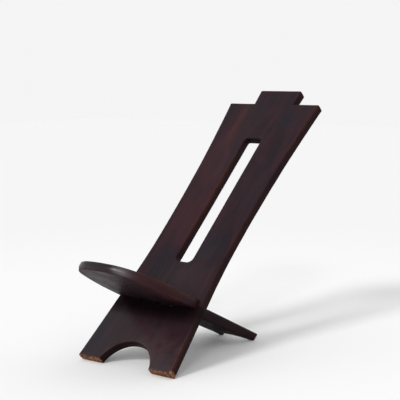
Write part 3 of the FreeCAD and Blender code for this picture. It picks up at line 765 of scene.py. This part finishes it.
class Nodes:
    """Short ways to add and join the nodes of one material or of the world."""

    def __init__(self, owner):
        owner.use_nodes = True
        self.owner = owner
        self.tree = owner.node_tree

    def put(self, socket, value):
        """Joins an output to a socket, or types a plain value into it."""
        value = getattr(value, "socket", value)
        if isinstance(value, bpy.types.NodeSocket):
            self.tree.links.new(value, socket)
        else:
            socket.default_value = (*value, 1.0) if socket.type == "RGBA" else value

    def node(self, kind, settings=(), **sockets):
        """Adds a node with its settings and its sockets by name, with _ for a space."""
        added = self.tree.nodes.new(kind)
        for setting, value in dict(settings).items():
            setattr(added, setting, value)
        self.fill(added, **sockets)
        return added

    def fill(self, node, **sockets):
        """Sets a node's sockets by name, with _ for a space."""
        for name, value in sockets.items():
            self.put(node.inputs[name.replace("_", " ")], value)

    def coordinates(self, kind="Object"):
        """The object's own coordinates, or another kind."""
        return self.node("ShaderNodeTexCoord").outputs[kind]

    def mapped(self, where, **changes):
        """Coordinates moved, turned or stretched."""
        return self.node("ShaderNodeMapping", Vector=where, **changes).outputs["Vector"]

    def attribute(self, name):
        """A value stored on the mesh's points."""
        stored = self.node("ShaderNodeAttribute", {"attribute_name": name})
        return Amount(self, stored.outputs["Fac"])

    def noise(self, where, size, detail=3.0, roughness=0.55, distortion=0.0):
        """A noise from 0 to 1 whose cells are about size metres wide before any stretching."""
        added = self.node("ShaderNodeTexNoise", Vector=where, Scale=1 / size, Detail=detail,
                          Roughness=roughness, Distortion=distortion)
        return Amount(self, added.outputs["Fac"])

    def ramp(self, value, low, high, to_low=0.0, to_high=1.0, kind="SMOOTHSTEP"):
        """Maps the span from low to high onto another span, and holds the ends."""
        mapped = self.node("ShaderNodeMapRange", {"interpolation_type": kind, "clamp": True})
        for socket, number in zip(mapped.inputs, (value, low, high, to_low, to_high)):
            self.put(socket, number)
        return Amount(self, mapped.outputs["Result"])

    def mixed(self, share, first, second, blend="MIX"):
        """Blends two colours by a share."""
        added = self.node("ShaderNodeMix", {"data_type": "RGBA", "blend_type": blend})
        for place, value in ((0, share), (6, first), (7, second)):
            self.put(added.inputs[place], value)
        return added.outputs[2]

    def grey(self, value):
        """A grey of that brightness."""
        mixed = self.node("ShaderNodeCombineColor", Red=value, Green=value, Blue=value)
        return mixed.outputs["Color"]

    def bumped(self, height, strength, distance, **normal):
        """Raises the surface's normal, or another one, by a height in shares of the distance."""
        return self.node("ShaderNodeBump", Height=height, Strength=strength, Distance=distance,
                         **normal).outputs["Normal"]


# The wood's layers: how fast each changes along the grain, where 1 is as fast as across it, its
# size across in metres, and its noise's detail, roughness and distortion
GRAIN = {
    "figure": (0.26, 0.045, 3.0, 0.55, 0.9),
    "streaks": (0.045, 0.010, 4.0, 0.62, 0.25),
    "fibres": (0.022, 0.0016, 3.0, 0.7),
    "pores": (0.055, 0.00075, 1.0, 0.5),
    "clouds": (0.5, 0.17, 3.0, 0.55),
    "tooling": (0.35, 0.030, 2.0, 0.5),
    "smudges": (1.0, 0.035, 4.0, 0.6),
    "specks": (1.0, 0.0012, 2.0, 0.6),
    "soil": (1.0, 0.007, 4.0, 0.65),
}
CLOUD_SHARE = 0.6
FIBRE_RELIEF, STREAK_RELIEF = 0.6, 0.4
TOOL_BUMP, GRAIN_BUMP, PORE_BUMP, BARE_BUMP = 0.22, 0.30, 0.25, 0.5


def waxed_hardwood(name, wood, turn, shift):
    """A dark, close-grained hardwood, cut by hand, waxed and darkened by use.

    turn lays the plank's length on Y and shift moves the figure, so that no two planks are alike.
    A ramp's numbers are the span of a layer or a mark that it takes up, and what that becomes.
    """
    nodes = Nodes(bpy.data.materials.new(name))
    ramp, mixed, mark = nodes.ramp, nodes.mixed, nodes.attribute
    own = nodes.mapped(nodes.coordinates(), Rotation=(turn, 0.0, 0.0), Location=(shift, 0.0, shift))
    grain = {
        layer: nodes.noise(nodes.mapped(own, Scale=(1.0, stretch, 1.0)), *rest)
        for layer, (stretch, *rest) in GRAIN.items()
    }
    figure, streaks, fibres = grain["figure"], grain["streaks"], grain["fibres"]
    smudges, specks = grain["smudges"], grain["specks"]
    pores = ramp(grain["pores"], 0.62, 0.74)
    handled = mark("side") * mark("handled")
    # Painted shade: the sides are painted darker, less where the seat's rim is handled; they also
    # shine less
    side = mark("side") - handled
    end = mark("end grain") * ramp(handled, 0.0, 1.0, 1.0, 0.3, "LINEAR")
    below = ramp(mark("under"), 0.7, 1.0)
    leaning = mark("leaning")
    # Painted shade in the corner under the seat and on the seat's underside next to the back plank
    painted_shade = mark("grimed") * below.at_least(leaning)
    bare = ramp(mark("bare") + ramp(streaks, 0.3, 0.7, -0.25, 0.25), 0.35, 0.75)

    # The heartwood, its streaks, the dark patina, the flame, and fibres and pores over them all
    redness = (ramp(figure, 0.28, 0.72, 0.0, 0.8) + mark("red")).combined("MINIMUM", 1.0)
    colour = mixed(redness, wood.dark_colour, wood.red_colour)
    colour = mixed(ramp(streaks, 0.50, 0.72) * wood.streak_share, colour, wood.streak_colour)
    cool = mark("cool") * ramp(smudges, 0.3, 0.6, 0.6, 1.0)
    clouds = ramp(grain["clouds"], 0.45, 0.70) * CLOUD_SHARE
    patina = clouds.at_least(cool) * wood.patina_share
    colour = mixed(patina, colour, wood.patina_colour)
    flame = mark("light streak") * ramp(streaks, 0.25, 0.6, 0.75, 1.0) * wood.flame_share
    colour = mixed(flame, colour, wood.flame_colour)
    shade = ramp(fibres, 0.3, 0.72, 1 - wood.fibre_contrast, 1 + wood.fibre_contrast)
    colour = mixed(1.0, colour, nodes.grey(shade), "MULTIPLY")
    colour = mixed(pores * wood.pore_share, colour, wood.pore_colour)

    # Painted shade on the sides, dark end grain, rubbed edges, painted shade under the seat, and
    # the soles' bare wood
    colour = mixed(side * wood.side_shade_share, colour, wood.side_shade_colour)
    colour = mixed(end * wood.end_share, colour, wood.end_grain_and_shade_colour)
    rubbed = mark("wear") * ramp(smudges, 0.40, 0.64, 0.15, 1.0)
    rubbed = rubbed * ramp(streaks, 0.35, 0.6, 0.5, 1.0) * wood.wear_share
    used = mark("rubbed") * ramp(smudges, 0.3, 0.6, 0.4, 1.0)
    used = used * ramp(mark("under"), 0.0, 0.6, 1.0, 0.0) * wood.rub_share
    colour = mixed(rubbed.at_least(used), colour, wood.worn_colour)
    # painted shade under the seat, in the end grain's dark colour
    colour = mixed(painted_shade * wood.painted_shade_share, colour, wood.end_grain_and_shade_colour)
    bare_wood = mixed(ramp(grain["soil"], 0.36, 0.62), wood.bare_dark_colour, wood.bare_colour)
    speckled = nodes.grey(ramp(specks, 0.3, 0.7, 0.7, 1.2))
    colour = mixed(bare, colour, mixed(1.0, bare_wood, speckled, "MULTIPLY"))

    # Roughness and shine: duller in pores, on end grain, undersides, sides, the painted shade under
    # the seat and bare wood
    roughness = ramp(smudges, 0.3, 0.75, wood.sheen_low, wood.sheen_high)
    roughness = roughness + pores * wood.pore_roughness + end * wood.end_roughness
    roughness = roughness - handled * wood.hand_polish
    roughness = roughness + bare * (wood.bare_roughness - wood.sheen_high)
    roughness = roughness + below * wood.under_roughness
    dull = bare.at_least(below * wood.under_dullness).at_least(side * wood.side_dullness)
    dull = dull.at_least(painted_shade)
    thick_wax = mark("hazed") * ramp(dull, 0.0, 0.5, 1.0, 0.0) * handled.at_least(leaning)
    shine = ramp(dull, 0.0, 1.0, wood.wax_shine, wood.raw_shine, "LINEAR")
    shine = shine + thick_wax * wood.haze_shine

    relief = fibres * FIBRE_RELIEF + streaks * STREAK_RELIEF
    normal = nodes.bumped(grain["tooling"], TOOL_BUMP, wood.tool_depth)
    normal = nodes.bumped(relief, GRAIN_BUMP, wood.grain_depth, Normal=normal)
    normal = nodes.bumped(pores * -1.0, PORE_BUMP, wood.grain_depth, Normal=normal)
    normal = nodes.bumped(specks * bare, BARE_BUMP, wood.grain_depth, Normal=normal)

    nodes.fill(
        nodes.tree.nodes["Principled BSDF"], Base_Color=colour, Roughness=roughness, Normal=normal,
        IOR=wood.wax_ior, Specular_IOR_Level=shine,
        Coat_Weight=wood.wax_weight, Coat_Roughness=wood.wax_roughness,
    )
    return nodes.owner


PAPER_LIGHT_SWEEP = (0.5, 3.0)  # distances over which the paper turns greyer
PAPER_TOOTH, PAPER_TOOTH_TONE = 0.004, 0.995  # its grain's size, and the tone of its hollows


def floor_material(studio):
    """Matt white paper with a very slight tooth, painted lighter round the chair and a little
    greyer towards the horizon, as painted light and painted shade.
    """
    nodes = Nodes(bpy.data.materials.new("studio_paper"))
    where = nodes.coordinates()
    away = nodes.node("ShaderNodeVectorMath", {"operation": "LENGTH"}, Vector=where)
    near_and_far = studio.near_paper_white_with_painted_light, studio.far_paper_white_with_painted_shade
    painted_light_sweep = nodes.ramp(away.outputs["Value"], *PAPER_LIGHT_SWEEP, *near_and_far)
    tooth = nodes.ramp(nodes.noise(where, PAPER_TOOTH, 2.0), 0.3, 0.7, PAPER_TOOTH_TONE, 1.0)
    paper = nodes.tree.nodes["Principled BSDF"]
    nodes.fill(paper, Base_Color=nodes.grey(painted_light_sweep * tooth), Roughness=0.9, Specular_IOR_Level=0.0)
    return nodes.owner


# Sizes and finishes, shown in the panel

def size(name, description, default, least=0.0):
    """A length in metres."""
    return FloatProperty(name=name, description=description, default=default, min=least,
                         precision=5, subtype="DISTANCE", unit="LENGTH")


def share(name, description, default):
    """A share from 0 to 1."""
    return FloatProperty(name=name, description=description, default=default, min=0.0, max=1.0,
                         precision=3, subtype="FACTOR")


def strength(name, description, default):
    """A light's strength, or another plain number."""
    return FloatProperty(name=name, description=description, default=default, min=0.0)


def angle(name, description, default):
    """An angle, given in degrees and kept in radians."""
    return FloatProperty(name=name, description=description, default=math.radians(default),
                         subtype="ANGLE", unit="ROTATION")


def colour(name, description, default):
    """A plain linear colour."""
    return FloatVectorProperty(name=name, description=description, default=default, size=3,
                               min=0.0, max=1.0, subtype="COLOR")


class ChairCrossing(PropertyGroup):
    """Where and how the two planks cross."""

    back_angle: angle("Back angle", "Slope of the back plank over the floor", 45.0)
    seat_angle: angle("Seat angle", "Slope of the seat plank down to the back", 25.4)
    crossing_height: size("Crossing height", "From the back plank's foot up it to the seat", 0.202)
    foot_line: size("Foot line", "Where the back plank's rear face meets its foot", -0.288822, -1.0)
    sole_wear: size("Sole wear", "Depth worn off the feet", 0.0015)
    clearance: size("Clearance", "Gap around the tail in the mortise", 0.001)
    tail_half_width: size("Tail half width", "Half the tail's width on top", 0.069)


class BackPlankSizes(PropertyGroup):
    """The back plank's own sizes."""

    length: size("Length", "From the foot to the crest", 0.985)
    thickness: size("Thickness", "Thickness of the plank", 0.025)
    foot_half_width: size("Foot half width", "Half the width at the feet", 0.163)
    ankle_height: size("Ankle height", "Where the shin passes into the waist's curve", 0.250)
    waist_half_width: size("Waist half width", "Half the width at the narrowest", 0.1325)
    waist_height: size("Waist height", "Height of the narrowest place", 0.422)
    shoulder_half_width: size("Shoulder half width", "Half the width at the shoulders", 0.162)
    shoulder_height: size("Shoulder height", "Height of the shoulders", 0.931)
    tab_base_half_width: size("Tab base half width", "Half the crest tab's foot", 0.0715)
    tab_top_half_width: size("Tab top half width", "Half the crest tab's top", 0.0739)
    crest_radius: size("Crest radius", "Rounding of the crest's corners", 0.005)
    worn_corner_radius: size("Worn corner radius", "Rounding of the crest's right corners", 0.006)
    arch_half_width: size("Arch half width", "Half the width between the front feet", 0.0865)
    arch_height: size("Arch height", "Height of the arch between the front feet", 0.068)
    slot_half_width: size("Slot half width", "Half the width of the long slot", 0.028)
    slot_bottom: size("Slot bottom", "Height of the slot's lower end", 0.3385)
    slot_top: size("Slot top", "Height of the slot's upper end", 0.791)
    slot_bottom_radius: size("Slot bottom radius", "Rounding of its lower corners", 0.015)
    slot_top_radius: size("Slot top radius", "Rounding of its upper left corner", 0.004)
    slot_worn_radius: size("Slot worn radius", "Rounding of its upper right corner", 0.010)
    flame_half_width: size("Flame half width", "Half the width of the light flame", 0.013)
    arris_radius: size("Arris radius", "Rounding of the plank's edges", 0.0026)
    sharp_radius: size("Mortise edge radius", "Rounding of the mortise's edges", 0.0006)


class SeatPlankSizes(PropertyGroup):
    """The seat plank's own sizes."""

    length: size("Seat length", "From the back plank to the seat's front end", 0.270)
    half_width: size("Half width", "Half the seat's greatest width", 0.129)
    straight_length: size("Straight side", "Length of the side next to the back", 0.050)
    flank_radius: size("Flank radius", "Radius of the seat's sides", 0.530)
    corner_radius: size("Corner radius", "Radius of the seat's front corners", 0.088)
    front_radius: size("Front radius", "Radius of the seat's front", 0.200)
    thickness: size("Thickness", "Thickness of the plank at its ends", 0.023)
    belly: size("Belly", "How far the underside sags halfway", 0.005)
    tenon_length: size("Tenon length", "Straight part of the tail inside the mortise", 0.038)
    keel_run_in: size("Keel run in", "Length over which the cheeks start to slant in", 0.040)
    keel_half_width: size("Keel half width", "Half the tail's underside", 0.054)
    heel_half_width: size("Heel half width", "Half the tail's underside at its end", 0.063)
    heel_length: size("Heel length", "Length over which the underside widens out again", 0.050)
    cheek_band: size("Cheek band", "Height of the upright band along the cheeks' top", 0.006)
    arch_half_width: size("Arch half width", "Half the width between the rear feet", 0.0455)
    arch_height: size("Arch height", "Depth of the arch between the rear feet", 0.044)
    arris_radius: size("Arris radius", "Rounding of the plank's edges", 0.0025)
    sharp_radius: size("Shoulder edge radius", "Rounding of the edges at the back plank", 0.0006)


class HandFinish(PropertyGroup):
    """How the planks were worked by hand."""

    pitch: size("Grid pitch", "Greatest size of the faces' cells", 0.0038)
    arris_wander: share("Arris wander", "How much wider the edges' rounding gets", 0.45)
    wave_depth: size("Wave depth", "Greatest depth of the planed faces' waves", 0.0004)
    bare_height: size("Bare height", "How far up from the soles the wax is worn off", 0.005)
    wall_bulge: size("Wall bulge", "How far the back plank's edges bulge halfway through", 0.0004)
    rim_bulge: size("Rim bulge", "How far the seat's rim bulges halfway through", 0.0016)


class WoodFinish(PropertyGroup):
    """The colours and the sheen of the waxed wood, with the shade painted on its sides and under
    the seat.
    """

    dark_colour: colour("Dark wood", "The darkest heartwood", (0.0125, 0.0066, 0.0098))
    red_colour: colour("Red wood", "The redder heartwood", (0.0300, 0.0100, 0.0136))
    streak_colour: colour("Streaks", "The light streaks", (0.0520, 0.0170, 0.0175))
    streak_share: share("Streak share", "How strong the light streaks are", 0.20)
    flame_colour: colour("Flame", "The light flame in the back plank", (0.0900, 0.0240, 0.0200))
    flame_share: share("Flame share", "How strong the light flame is", 0.30)
    pore_colour: colour("Pores", "The wood's pores", (0.0060, 0.0034, 0.0044))
    pore_share: share("Pore share", "How dark the pores are", 0.40)
    patina_colour: colour("Patina", "Wood darkened by handling", (0.0085, 0.0096, 0.0140))
    patina_share: share("Patina share", "How far the dark patina covers the wood", 0.75)
    # This colour also paints the shade under the seat.
    end_grain_and_shade_colour: colour("End grain", "Waxed end grain, and dirt", (0.0045, 0.0026, 0.0032))
    end_share: share("End share", "How much darker the waxed end grain is", 0.85)
    worn_colour: colour("Worn wood", "Rubbed edges", (0.0700, 0.0230, 0.0120))
    wear_share: share("Wear share", "How far the edges are rubbed", 0.25)
    rub_share: share("Rub share", "How far the most used edges are rubbed", 0.60)
    bare_colour: colour("Bare wood", "The soles' bare end grain", (0.2500, 0.1120, 0.0620))
    bare_dark_colour: colour("Dirty soles", "Bare wood with dirt in it", (0.0500, 0.0240, 0.0170))
    # Painted shade: the planks' sides are painted darker than their faces.
    side_shade_colour: colour("Sides", "The planks' dark sides", (0.0080, 0.0036, 0.0046))
    side_shade_share: share("Side share", "How much darker the planks' sides are", 0.65)
    # Painted shade in the corner under the seat.
    painted_shade_share: share("Grime share", "How far dirt darkens the corner under the seat", 0.75)
    fibre_contrast: share("Fibre contrast", "How much the fine fibres differ in tone", 0.15)
    sheen_low: share("Least roughness", "Roughness where the wax is best rubbed", 0.30)
    sheen_high: share("Greatest roughness", "Roughness where the wax is dull", 0.44)
    bare_roughness: share("Bare roughness", "Roughness of the bare wood", 0.8)
    pore_roughness: share("Pore roughness", "How much rougher the pores are", 0.18)
    end_roughness: share("End roughness", "How much rougher the end grain is", 0.08)
    under_roughness: share("Underside roughness", "How much rougher the undersides are", 0.12)
    hand_polish: share("Hand polish", "How much smoother hands have rubbed the rim", 0.03)
    side_dullness: share("Side dullness", "How much less the planks' edges shine", 0.9)
    under_dullness: share("Underside dullness", "How much less the undersides shine", 0.3)
    haze_shine: share("Haze shine", "How much more thick or polished wax shines", 0.20)
    wax_shine: share("Wax shine", "Strength of the wax's reflections", 0.13)
    raw_shine: share("Raw shine", "Strength of the bare wood's reflections", 0.009)
    wax_ior: strength("Wax refraction", "Refraction of the waxed surface", 1.40)
    wax_weight: share("Wax weight", "How much a second coat of wax covers", 0.03)
    wax_roughness: share("Wax roughness", "Roughness of the second coat", 0.28)
    tool_depth: size("Tool depth", "Depth of the long marks of the blade", 0.0022)
    grain_depth: size("Grain depth", "Depth of the open grain", 0.00035)


class ChairStudio(PropertyGroup):
    """The studio that the chair stands in."""

    camera_place: FloatVectorProperty(name="Camera place", description="Where the camera stands",
                                      default=(2.0074, -2.4263, 0.7629), unit="LENGTH")
    camera_pitch: angle("Camera pitch", "Tilt of the camera up from straight down", 83.73)
    camera_turn: angle("Camera turn", "Turn of the camera about the vertical", 39.51)
    camera_lens: FloatProperty(name="Lens", description="Focal length", default=103.5,
                               unit="CAMERA")
    floor_reach: size("Floor reach", "Half the side of the paper floor", 12.0)
    # Painted light round the chair, and painted shade further off
    near_paper_white_with_painted_light: share("Paper white", "Reflectance of the floor round the chair", 0.92)
    far_paper_white_with_painted_shade: share("Far paper white", "Reflectance of the floor further off", 0.865)
    room_light: strength("Room light", "Strength of the light overhead", 0.66)
    horizon_light: strength("Horizon light", "Strength of the light at the horizon", 1.30)
    horizon_height: share("Horizon height", "How high the horizon's light reaches", 0.55)
    key_strength: strength("Key strength", "Strength of the broad key light", 1.45)
    key_softness: angle("Key softness", "Angle over which the key light spreads", 14.0)
    key_turn: angle("Key turn", "Where it comes from, anticlockwise from the right", 269.0)
    key_height: angle("Key height", "Height of the key light over the floor", 38.0)
    fill_strength: strength("Fill strength", "Strength of the second light", 0.40)
    fill_softness: angle("Fill softness", "Angle over which the second light spreads", 10.0)
    fill_turn: angle("Fill turn", "Where it comes from, anticlockwise from the right", 301.0)
    fill_height: angle("Fill height", "Height of the second light over the floor", 31.0)
    backdrop: share("Backdrop", "Brightness of the backdrop", 0.91)


class BirthingChair(PropertyGroup):
    """All the values of the chair's dress."""

    crossing: PointerProperty(type=ChairCrossing)
    back: PointerProperty(type=BackPlankSizes)
    seat: PointerProperty(type=SeatPlankSizes)
    hand: PointerProperty(type=HandFinish)
    wood: PointerProperty(type=WoodFinish)
    studio: PointerProperty(type=ChairStudio)


class BIRTHING_CHAIR_OT_back_plank(Operator):
    """Builds the back plank with its slot, mortise, front arch and stepped crest"""

    bl_idname = "birthing_chair.back_plank"
    bl_label = "Back Plank"

    def execute(self, context):
        chair = context.scene.birthing_chair
        wood = waxed_hardwood("back_wood_waxed", chair.wood, -chair.crossing.back_angle, 0.0)
        piece = plank_object("back_plank_carved", back_plank_surface(chair), wood)
        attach(piece, "back")
        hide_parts("back_plank")
        return {"FINISHED"}


class BIRTHING_CHAIR_OT_seat_plank(Operator):
    """Builds the seat plank with its rounded seat, waisted tail and rear arch"""

    bl_idname = "birthing_chair.seat_plank"
    bl_label = "Seat Plank"

    def execute(self, context):
        chair = context.scene.birthing_chair
        wood = waxed_hardwood("seat_wood_waxed", chair.wood, chair.crossing.seat_angle, 3.7)
        piece = plank_object("seat_plank_carved", seat_plank_surface(chair), wood)
        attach(piece, "seat")
        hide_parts("seat_plank")
        return {"FINISHED"}


class BIRTHING_CHAIR_OT_studio(Operator):
    """Lays the paper floor and sets up the light, the backdrop and the camera"""

    bl_idname = "birthing_chair.studio"
    bl_label = "Studio"

    def execute(self, context):
        scene = context.scene
        studio = scene.birthing_chair.studio
        reach = studio.floor_reach
        mesh = bpy.data.meshes.new("paper_floor")
        corners = [(-reach, -reach, 0), (reach, -reach, 0), (reach, reach, 0), (-reach, reach, 0)]
        mesh.from_pydata(corners, [], [(0, 1, 2, 3)])
        mesh.materials.append(floor_material(studio))
        floor = bpy.data.objects.new("paper_floor", mesh)
        scene.collection.objects.link(floor)

        for name in ("key", "fill"):
            light = bpy.data.lights.new(name + "_light", "SUN")
            light.energy = getattr(studio, name + "_strength")
            light.angle = getattr(studio, name + "_softness")
            turn, height = getattr(studio, name + "_turn"), getattr(studio, name + "_height")
            lamp = bpy.data.objects.new(name + "_light", light)
            lamp.rotation_euler = (math.pi / 2 - height, 0, turn + math.pi / 2)
            scene.collection.objects.link(lamp)

        room = Nodes(bpy.data.worlds.new("studio_room"))
        scene.world = room.owner
        white = (1, 1, 1)
        upwards = room.node("ShaderNodeSeparateXYZ", Vector=room.coordinates("Generated"))
        fall = room.ramp(upwards.outputs["Z"], 0.0, studio.horizon_height,
                         studio.horizon_light, studio.room_light)
        light = room.tree.nodes["Background"]
        room.fill(light, Color=white, Strength=fall)
        backdrop = room.node("ShaderNodeBackground", Color=white, Strength=studio.backdrop)
        seen = room.node("ShaderNodeLightPath").outputs["Is Camera Ray"]
        choice = room.node("ShaderNodeMixShader", Fac=seen)
        room.put(choice.inputs[1], light.outputs["Background"])
        room.put(choice.inputs[2], backdrop.outputs["Background"])
        room.fill(room.tree.nodes["World Output"], Surface=choice.outputs["Shader"])

        view = bpy.data.cameras.new("photo_camera")
        view.lens = studio.camera_lens
        camera = bpy.data.objects.new("photo_camera", view)
        camera.location = studio.camera_place
        camera.rotation_euler = (studio.camera_pitch, 0, studio.camera_turn)
        scene.collection.objects.link(camera)
        scene.camera = camera
        scene.view_settings.view_transform = "Standard"
        return {"FINISHED"}


class BIRTHING_CHAIR_PT_panel(Panel):
    """Lists the chair's operators in the sidebar"""

    bl_idname = "BIRTHING_CHAIR_PT_panel"
    bl_label = "Birthing Chair"
    bl_space_type = "VIEW_3D"
    bl_region_type = "UI"
    bl_category = "Birthing Chair"

    def draw(self, context):
        for operator in OPERATORS:
            self.layout.operator(operator.bl_idname)


OPERATORS = (BIRTHING_CHAIR_OT_back_plank, BIRTHING_CHAIR_OT_seat_plank, BIRTHING_CHAIR_OT_studio)
CLASSES = (
    ChairCrossing, BackPlankSizes, SeatPlankSizes, HandFinish, WoodFinish, ChairStudio,
    BirthingChair, *OPERATORS, BIRTHING_CHAIR_PT_panel,
)


def register():
    for each in CLASSES:
        bpy.utils.register_class(each)
    bpy.types.Scene.birthing_chair = PointerProperty(type=BirthingChair)


def unregister():
    del bpy.types.Scene.birthing_chair
    for each in reversed(CLASSES):
        bpy.utils.unregister_class(each)


def main():
    """Builds the chair's dress and its studio."""
    register()
    bpy.ops.birthing_chair.back_plank()
    bpy.ops.birthing_chair.seat_plank()
    bpy.ops.birthing_chair.studio()


if __name__ == "__main__":
    main()
